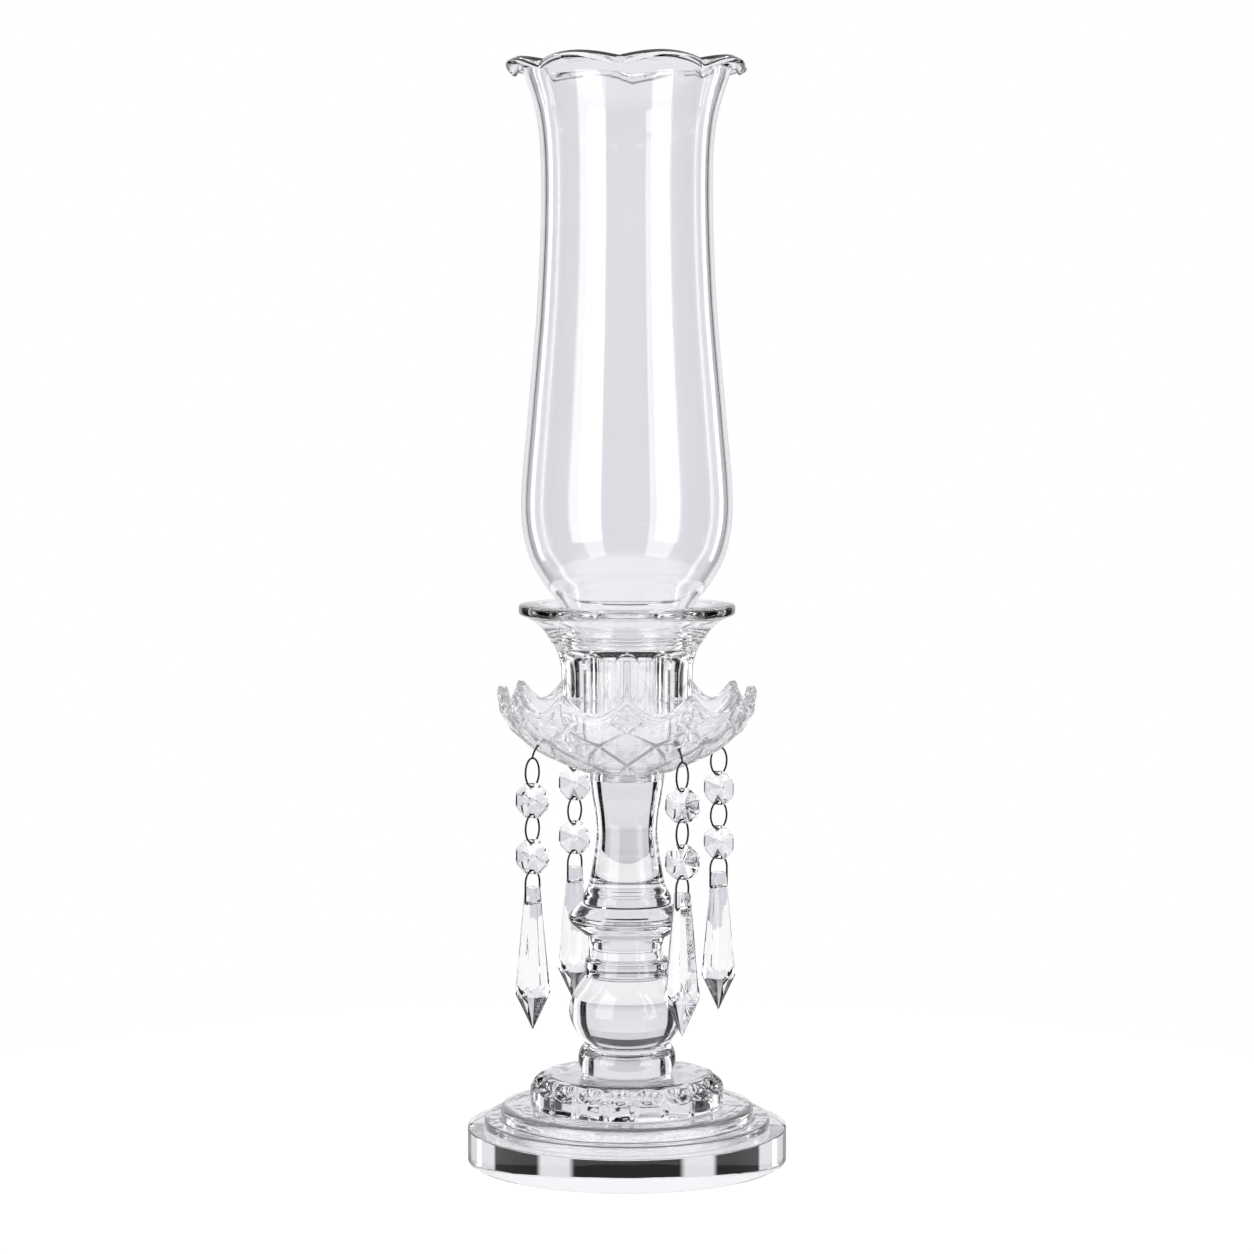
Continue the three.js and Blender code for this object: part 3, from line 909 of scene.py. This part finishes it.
def drawn_wire():
    """A tree that draws round wire along a line of edges."""
    tree, given, made = geometry_tree(
        "drawn_wire", {"Line": "Geometry", "Radius": "Float", "Sides": "Int", "Plating": "Material"}
    )
    line = add_node(tree, "GeometryNodeMeshToCurve", {0: given.outputs["Line"]})
    section = add_node(
        tree, "GeometryNodeCurvePrimitiveCircle",
        {"Resolution": given.outputs["Sides"], "Radius": given.outputs["Radius"]},
    )
    tube = add_node(
        tree, "GeometryNodeCurveToMesh",
        {"Curve": line.outputs[0], "Profile Curve": section.outputs[0], "Fill Caps": True},
    )
    real = add_node(tree, "GeometryNodeRealizeInstances", {0: tube.outputs[0]})
    plated = add_node(
        tree, "GeometryNodeSetMaterial", {"Geometry": real.outputs[0], "Material": given.outputs["Plating"]}
    )
    tree.links.new(plated.outputs[0], made.inputs[0])
    return tree


wire_tree = drawn_wire()


def plated_wire():
    """A plated mirror with the faint uneven grain of drawn wire, painted near black as a dark reflection."""
    material = bpy.data.materials.new("plated_wire")
    material.use_nodes = True
    tree = material.node_tree
    surface = tree.nodes["Principled BSDF"]
    place = add_node(tree, "ShaderNodeTexCoord").outputs["Object"]
    grain = add_node(
        tree, "ShaderNodeTexNoise", {"Vector": place, "Scale": 1 / (wire_grain * MM), "Detail": 3.0}
    )
    # The near-black tones are painted reflection, standing for the dark room in bright plate; the grain
    # mixes them.
    tone = add_node(
        tree, "ShaderNodeMix",
        {0: grain.outputs[0], 6: linear("3E4044"), 7: linear("121316")}, data_type="RGBA",
    )
    polish = add_node(
        tree, "ShaderNodeMapRange", {"Value": grain.outputs[0], "To Min": 0.04, "To Max": 0.16}
    )
    surface.inputs["Metallic"].default_value = 1.0
    tree.links.new(tone.outputs[2], surface.inputs["Base Color"])
    tree.links.new(polish.outputs[0], surface.inputs["Roughness"])
    return material


plating = plated_wire()


def wire_mesh(name, points, closed):
    line = bpy.data.meshes.new(name)
    edges = [(i, i + 1) for i in range(len(points) - 1)]
    if closed:
        edges.append((len(points) - 1, 0))
    line.from_pydata([Vector(p) * MM for p in points], edges, [])
    mesh = grown(name, line, wire_tree, Radius=wire * MM, Sides=wire_sides, Plating=plating)
    mesh.shade_smooth()
    mesh.set_sharp_from_angle(angle=math.radians(50))
    return mesh


def oval_points(steps=56):
    across = loop_width / 2 - wire
    turns = [math.tau * step / steps for step in range(steps)]
    return [(0, across * math.cos(t), loop_half * math.sin(t)) for t in turns]


def drop_link_points(steps=24):
    """Clockwise from the right shoulder over the arch, down the left and along the straight foot."""
    half = link_width / 2 - wire
    springing = link_height - 2 * wire - link_arch
    turns = [math.pi * step / steps for step in range(steps + 1)]
    arch = [(0, half * math.cos(t), springing + link_arch * math.sin(t)) for t in turns]
    foot = []
    for side in (-1, 1):
        bend = [math.radians(a) for a in (0, 30, 60, 90)]
        corner = [
            (0, side * (half - link_corner + link_corner * math.cos(b)), link_corner * (1 - math.sin(b)))
            for b in bend
        ]
        foot += corner if side < 0 else corner[::-1]
    return arch + foot


def hook_tail_points(out):
    """From the top of the hook's loop up through the drilled hole to the head inside the dish."""
    tilt = math.atan2(hole_way.x, -hole_way.y)

    def at(inset, rise):
        return -out * inset + Vector((0, 0, rise))

    def along(way):
        return at(hook_throw + way * math.sin(tilt), loop_half + hook_drop + way * math.cos(tilt))

    head = dish_wall + head_gap + hook_head
    knots = [
        at(0, loop_half),
        at(hook_throw * 0.25, loop_half + hook_drop * 0.4),
        along(-hook_drop * 0.25),
        along(dish_wall / 2),
        along(head),
    ]
    return through(knots, 28), knots[-1]


def joined(meshes, name):
    whole = bmesh.new()
    for mesh in meshes:
        whole.from_mesh(mesh)
    result = bpy.data.meshes.new(name)
    whole.to_mesh(result)
    whole.free()
    for material in meshes[0].materials:
        result.materials.append(material)
    result.shade_smooth()
    return result


def middle(node):
    lowest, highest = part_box(node)
    return (lowest + highest) / 2


def placed(mesh, point, turn):
    mesh.transform(Matrix.Translation(point) @ Matrix.Rotation(math.radians(turn), 4, "Z"))
    return mesh


for place, (angle, facing) in garlands.items():
    bead_middle = middle(f"upper_bead_{place}")
    out = Vector((math.sin(math.radians(angle)), -math.cos(math.radians(angle)), 0))
    tail, head_place = hook_tail_points(out)
    loop = placed(wire_mesh("loop", oval_points(), True), (0, 0, 0), facing - loop_twist)
    ball = bmesh.new()
    bmesh.ops.create_icosphere(
        ball, subdivisions=3, radius=hook_head * MM, matrix=Matrix.Translation(head_place * MM)
    )
    head = bpy.data.meshes.new("head")
    ball.to_mesh(head)
    ball.free()
    hook = joined([loop, wire_mesh("tail", tail, False), head], f"garland_hook_{place}_wire")
    placed(hook, bead_middle + Vector((0, 0, bead_half + loop_half)) * MM, 0)
    fitted(hook.name, hook, f"hook_{place}", "plated_wire", f"garland_hook_{place}")
    node = f"bead_link_{place}"
    link = placed(wire_mesh(node + "_wire", oval_points(), True), middle(node), facing - loop_twist)
    fitted(node + "_wire", link, node, "plated_wire", node)
    node = f"drop_link_{place}"
    foot = middle(node)
    foot.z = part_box(f"drop_link_{place}")[0].z + wire * MM
    link = placed(wire_mesh(node + "_wire", drop_link_points(), True), foot, facing - loop_twist)
    fitted(node + "_wire", link, node, "plated_wire", node)

# The beads and drops are cut crystal: sawn and ground to flat facets that meet in crisp edges, then
# polished, and drilled for the wire. Two eight-sided beads and one long drop hang in each garland.

bead_thick = 6.2
bead_rim = 0.5
bead_shoulder = 6.6
shoulder_half = 0.72
rim_round = 0.15
corner_round = 1.2
bead_hole = 0.95
drop_length = 57
drop_top = 6
drop_across = 14.3
drop_point = 14.6
drop_zigzag = 2.6
drop_hole = 0.8
drop_inset = 6
facet_edge = 0.07

# Cut and polished crystal: a higher index than the pressed pieces, no ripples to speak of.
cut_crystal = clear_glass(
    "cut_crystal", 1.56, pale="FEFEFF", deep="FAFAFC", ripple=(9, 0.003), streak=(4, 0.001), bloom=0.006,
)


def eased(gem, edges, offset, segments, profile=0.5):
    """Rounds those edges of a gem by an offset in millimetres."""
    bmesh.ops.bevel(
        gem, geom=edges, offset=offset * MM, offset_type="OFFSET", segments=segments, affect="EDGES",
        clamp_overlap=True, profile=profile,
    )


def girdle_edges(gem, girdle, across):
    """The edges within girdle millimetres of the middle plane: those across it, or those along it."""
    near = [e for e in gem.edges if max(abs(v.co.y) for v in e.verts) < girdle * MM]
    return [e for e in near if (abs(e.verts[0].co.y - e.verts[1].co.y) > 0.1 * MM) == across]


def ordered_mesh(name, gem):
    """The gem as a mesh. Bevels leave the order of its corners and faces to chance, so it is set here."""
    corners = sorted(gem.verts, key=lambda corner: tuple(corner.co))
    number = {corner: i for i, corner in enumerate(corners)}
    faces = []
    for face in gem.faces:
        ring = [number[corner] for corner in face.verts]
        first = ring.index(min(ring))
        faces.append(ring[first:] + ring[:first])
    mesh = bpy.data.meshes.new(name)
    mesh.from_pydata([tuple(corner.co) for corner in corners], [], sorted(faces))
    return mesh


def cut_gem(name, corners, rods, girdle=0):
    """The faceted body that the corners span, with its edges eased and its holes drilled. Edges that lie
    within girdle millimetres of the middle plane are rounded off further."""
    gem = bmesh.new()
    for corner in corners:
        gem.verts.new(Vector(corner) * MM)
    bmesh.ops.convex_hull(gem, input=gem.verts)
    bmesh.ops.dissolve_limit(gem, angle_limit=math.radians(1), verts=gem.verts, edges=gem.edges)
    eased(gem, girdle_edges(gem, girdle, across=True), corner_round, 3)
    eased(gem, girdle_edges(gem, girdle, across=False), rim_round, 2)
    facets = [e for e in gem.edges if len(e.link_faces) == 2 and e.calc_face_angle() > math.radians(12)]
    eased(gem, facets, facet_edge, 1, profile=0)
    bmesh.ops.recalc_face_normals(gem, faces=gem.faces)
    mesh = ordered_mesh(name, gem)
    gem.free()
    mesh.materials.append(cut_crystal)
    mesh = drilled(mesh, rods)
    mesh.name = name
    return mesh


def bead(name):
    corner = bead_across / 2 / math.cos(math.pi / 8)
    corners = [(0, bead_thick / 2, 0), (0, -bead_thick / 2, 0)]
    for side in range(8):
        turn = (side + 0.5) * math.pi / 4
        for side_way in (-1, 1):
            for radius, half in ((corner, bead_rim / 2), (bead_shoulder, shoulder_half)):
                corners.append((radius * math.cos(turn), side_way * half, radius * math.sin(turn)))
    rods = [((0, -bead_thick, h), (0, bead_thick, h), bead_hole) for h in (-bead_half, bead_half)]
    return cut_gem(name, corners, rods, girdle=bead_rim)


def drop(name):
    tip = drop_inset - drop_length
    shoulder = tip + drop_point
    half = drop_across / 2
    corners = [(0, 0, tip)]
    for side in range(8):
        for turn, radius, height in (
            ((side + 0.5) * math.pi / 4, drop_top / 2 / math.cos(math.pi / 8), drop_inset),
            ((side + 0.5) * math.pi / 4, half - 0.1, shoulder + drop_zigzag),
            (side * math.pi / 4, half - 0.25, shoulder),
        ):
            corners.append((radius * math.cos(turn), radius * math.sin(turn), height))
    return cut_gem(name, corners, [((0, -half, 0), (0, half, 0), drop_hole)])


for place, (_, facing) in garlands.items():
    for node in (f"upper_bead_{place}", f"lower_bead_{place}"):
        mesh = placed(bead(node + "_glass"), middle(node), facing)
        fitted(node + "_glass", mesh, node, "cut_crystal", node)
    node = f"crystal_drop_{place}"
    hang = middle(node)
    hang.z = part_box(node)[0].z + (drop_length - drop_inset) * MM
    mesh = placed(drop(node + "_glass"), hang, facing - loop_twist)
    fitted(node + "_glass", mesh, f"drop_{place}", "cut_crystal", node)

# The table is a round white board, brightly lit, with a film of air between it and the base plate. The
# room is of boards: pale ones low and high with dark ones between, and white and black ones at the sides.
# Polished faces find the front, where the camera stands, dark. So the glass gets its edges.

table_radius = 0.36
table_sides = 96
air_film = 0.0001
# How brightly the table shows to the camera, through glass, and in a reflection.
table_glow = {"Is Camera Ray": 0.87, "Is Transmission Ray": 0.67, "Is Glossy Ray": 0.2}

table = bpy.data.meshes.new("table")
turns = [math.tau * i / table_sides for i in range(table_sides)]
table_edge = [(table_radius * math.cos(t), table_radius * math.sin(t), -air_film) for t in turns]
table.from_pydata(table_edge, [], [tuple(range(table_sides))])
floor = new_object("table", table)


def white_board():
    """White laminate that keeps the holder's shadow. It shows white to the camera, and pale to glass."""
    material = bpy.data.materials.new("white_board")
    material.use_nodes = True
    tree = material.node_tree
    tree.nodes.clear()
    path = add_node(tree, "ShaderNodeLightPath")
    strength = 0
    for way, share in table_glow.items():
        strength = add_node(
            tree, "ShaderNodeMath", {0: path.outputs[way], 1: share, 2: strength}, operation="MULTIPLY_ADD"
        ).outputs[0]
    glow = add_node(tree, "ShaderNodeEmission", {"Color": linear("FFFFFF"), "Strength": strength})
    board = add_node(tree, "ShaderNodeBsdfDiffuse", {"Color": linear("8C8C8C")})
    lit = add_node(tree, "ShaderNodeAddShader", {0: glow.outputs[0], 1: board.outputs[0]})
    add_node(tree, "ShaderNodeOutputMaterial", {"Surface": lit.outputs[0]})
    return material


table.materials.append(white_board())

# The room's levels: each begins between two heights, in degrees above the table, and has one tone.
room_foot = "DADADF"
room_levels = [
    (-8.5, -4.5, "F2F2F5"),
    (14.0, 14.6, "DEDEE2"),
    (21.0, 22.0, "515256"),
    (31.0, 33.0, "E8E8EA"),
    (38.0, 40.0, "1C1C1E"),
    (50.0, 54.0, "F2F2F4"),
]
front_tone = "2A2A2D"
front_fade = (-0.12, 0.05)
# What glass shows of the room in a reflection inside it: grey flags at the sides and a white ceiling.
flags = [(0, "F0F0F3"), (32, "505053"), (50, "F8F8FA"), (66, "3A3A3D")]
flag_front = "1A1A1C"
ceiling = (34, 42, "F6F6F8")
# A row of black and white cards, which only the side of the base plate mirrors, from under the plate.
cards = [(0, "050506"), (14, "F4F4F6"), (24, "050506"), (45.5, "F4F4F6"), (76, "050506")]
card_foot = 12.3
card_head = 14.2
edge_softness = 0.8


def bands(tree, angle, stops):
    """Tones by angle. Each stop is the angle in degrees where its tone begins, with a soft edge."""
    ramp = add_node(tree, "ShaderNodeValToRGB", {0: angle})
    points = ramp.color_ramp.elements
    points[0].color = linear(stops[0][1])
    points[1].color = linear(stops[-1][1])
    for (start, colour), (_, before) in zip(stops[1:], stops):
        for edge, tone in ((start - edge_softness, before), (start + edge_softness, colour)):
            points.new(edge / 90).color = linear(tone)
    return ramp.outputs[0]


def room_bands(tree, angle, tone):
    """One level of the room: its own tone, white boards at both sides, and black flags beside them."""
    return bands(tree, angle, [
        (0, tone), (35, "0C0C0D"), (45, "FFFFFF"), (66, "0C0C0D"), (84, tone),
    ])


def rise(degrees):
    """The upright part of a direction that climbs by so many degrees."""
    return math.sin(math.radians(degrees))


def studio():
    world = bpy.data.worlds.new("studio")
    world.use_nodes = True
    tree = world.node_tree
    tree.nodes.clear()
    way = add_node(tree, "ShaderNodeSeparateXYZ", {
        0: add_node(tree, "ShaderNodeTexCoord").outputs["Generated"],
    })
    across = add_node(tree, "ShaderNodeMath", {0: way.outputs["X"]}, operation="ABSOLUTE")
    deep = add_node(tree, "ShaderNodeMath", {0: way.outputs["Y"]}, operation="ABSOLUTE")
    swing = add_node(
        tree, "ShaderNodeMath", {0: across.outputs[0], 1: deep.outputs[0]}, operation="ARCTAN2"
    )
    side = add_node(
        tree, "ShaderNodeMath", {0: swing.outputs[0], 1: math.pi / 2}, operation="DIVIDE"
    ).outputs[0]
    start, end = front_fade
    behind = add_node(
        tree, "ShaderNodeMapRange", {"Value": way.outputs["Y"], "From Min": start, "From Max": end}
    ).outputs[0]
    # In front of the holder the boards stand further apart, so that glass seen from behind is as clear.
    spacing = add_node(tree, "ShaderNodeMath", {0: behind, 1: 0.5, 2: 0.5}, operation="MULTIPLY_ADD")
    board_side = add_node(
        tree, "ShaderNodeMath", {0: side, 1: spacing.outputs[0]}, operation="MULTIPLY"
    ).outputs[0]
    room = room_bands(tree, board_side, room_foot)
    for start, end, tone in room_levels:
        step = add_node(
            tree, "ShaderNodeMapRange",
            {"Value": way.outputs["Z"], "From Min": rise(start), "From Max": rise(end)},
        )
        room = add_node(
            tree, "ShaderNodeMix", {0: step.outputs[0], 6: room, 7: room_bands(tree, board_side, tone)},
            data_type="RGBA",
        ).outputs[2]
    path = add_node(tree, "ShaderNodeLightPath")
    lit = add_node(
        tree, "ShaderNodeMath", {0: behind, 1: path.outputs["Is Transmission Ray"]}, operation="MAXIMUM"
    )
    room = add_node(
        tree, "ShaderNodeMix", {0: lit.outputs[0], 6: linear(front_tone), 7: room}, data_type="RGBA"
    ).outputs[2]
    mirrored = add_node(
        tree, "ShaderNodeMix", {0: behind, 6: linear(flag_front), 7: bands(tree, side, flags)},
        data_type="RGBA",
    ).outputs[2]
    start, end, tone = ceiling
    overhead = add_node(
        tree, "ShaderNodeMapRange",
        {"Value": way.outputs["Z"], "From Min": rise(start), "From Max": rise(end)},
    )
    mirrored = add_node(
        tree, "ShaderNodeMix", {0: overhead.outputs[0], 6: mirrored, 7: linear(tone)}, data_type="RGBA"
    ).outputs[2]
    over_foot = add_node(
        tree, "ShaderNodeMath", {0: way.outputs["Z"], 1: rise(card_foot)}, operation="GREATER_THAN"
    )
    under_head = add_node(
        tree, "ShaderNodeMath", {0: way.outputs["Z"], 1: rise(card_head)}, operation="LESS_THAN"
    )
    once = add_node(
        tree, "ShaderNodeMath", {0: path.outputs["Glossy Depth"], 1: 1.0, 2: 0.5}, operation="COMPARE"
    )
    card_row = add_node(
        tree, "ShaderNodeMath", {0: over_foot.outputs[0], 1: under_head.outputs[0]}, operation="MULTIPLY"
    )
    card_share = add_node(
        tree, "ShaderNodeMath", {0: card_row.outputs[0], 1: once.outputs[0]}, operation="MULTIPLY"
    )
    mirrored = add_node(
        tree, "ShaderNodeMix", {0: card_share.outputs[0], 6: mirrored, 7: bands(tree, side, cards)},
        data_type="RGBA",
    ).outputs[2]
    inside = add_node(
        tree, "ShaderNodeMath", {0: path.outputs["Glossy Depth"], 1: 1.0}, operation="MINIMUM"
    )
    seen = add_node(
        tree, "ShaderNodeMix", {0: inside.outputs[0], 6: room, 7: mirrored}, data_type="RGBA"
    ).outputs[2]
    boards = add_node(tree, "ShaderNodeBackground", {"Color": seen})
    white = add_node(tree, "ShaderNodeBackground", {"Color": linear("FFFFFF")})
    shown = add_node(tree, "ShaderNodeMixShader", {
        0: path.outputs["Is Camera Ray"], 1: boards.outputs[0], 2: white.outputs[0],
    })
    add_node(tree, "ShaderNodeOutputWorld", {"Surface": shown.outputs[0]})
    return world


bpy.context.scene.world = studio()

# Two upright soft boxes stand in front, one to each side, and give the long white strips in the glass.
# Two narrow ones stand at the sides, a little behind, and draw a thin bright line down each edge.

box_distance = 0.75
box_foot = -0.06
box_height = 1.06
box_radiance = 3


def soft_box(name, swing, width):
    """A soft box that faces the holder. swing is its angle from the front in degrees."""
    lamp = bpy.data.lights.new(name, "AREA")
    lamp.shape = "RECTANGLE"
    lamp.size = width
    lamp.size_y = box_height
    lamp.energy = box_radiance * math.pi * width * box_height
    box = new_object(name, lamp)
    out = Vector((math.sin(math.radians(swing)), -math.cos(math.radians(swing)), 0))
    box.location = out * box_distance + Vector((0, 0, box_height / 2 + box_foot))
    box.rotation_euler = out.to_track_quat("Z", "Y").to_euler()
    box.visible_camera = False


soft_box("soft_box_left", -46.5, 0.51)
soft_box("soft_box_right", 46, 0.37)
soft_box("edge_strip_left", -124, 0.06)
soft_box("edge_strip_right", 124, 0.06)

# The camera stands where the photograph was taken from, a little above the cup and looking slightly down.

camera_data = bpy.data.cameras.new("camera")
camera_data.lens = 97.8
camera_data.sensor_width = 36
camera_data.clip_start = 0.01
camera = new_object("camera", camera_data)
camera.location = (0, -1.360, 0.3097)
camera.rotation_euler = (math.radians(90 - 3.99), 0, 0)
scene = bpy.context.scene
scene.camera = camera
scene.view_settings.view_transform = "Standard"

# Light passes many glass faces here, so its path may be longer than Blender's usual one.
scene.cycles.max_bounces = 24
scene.cycles.transmission_bounces = 24
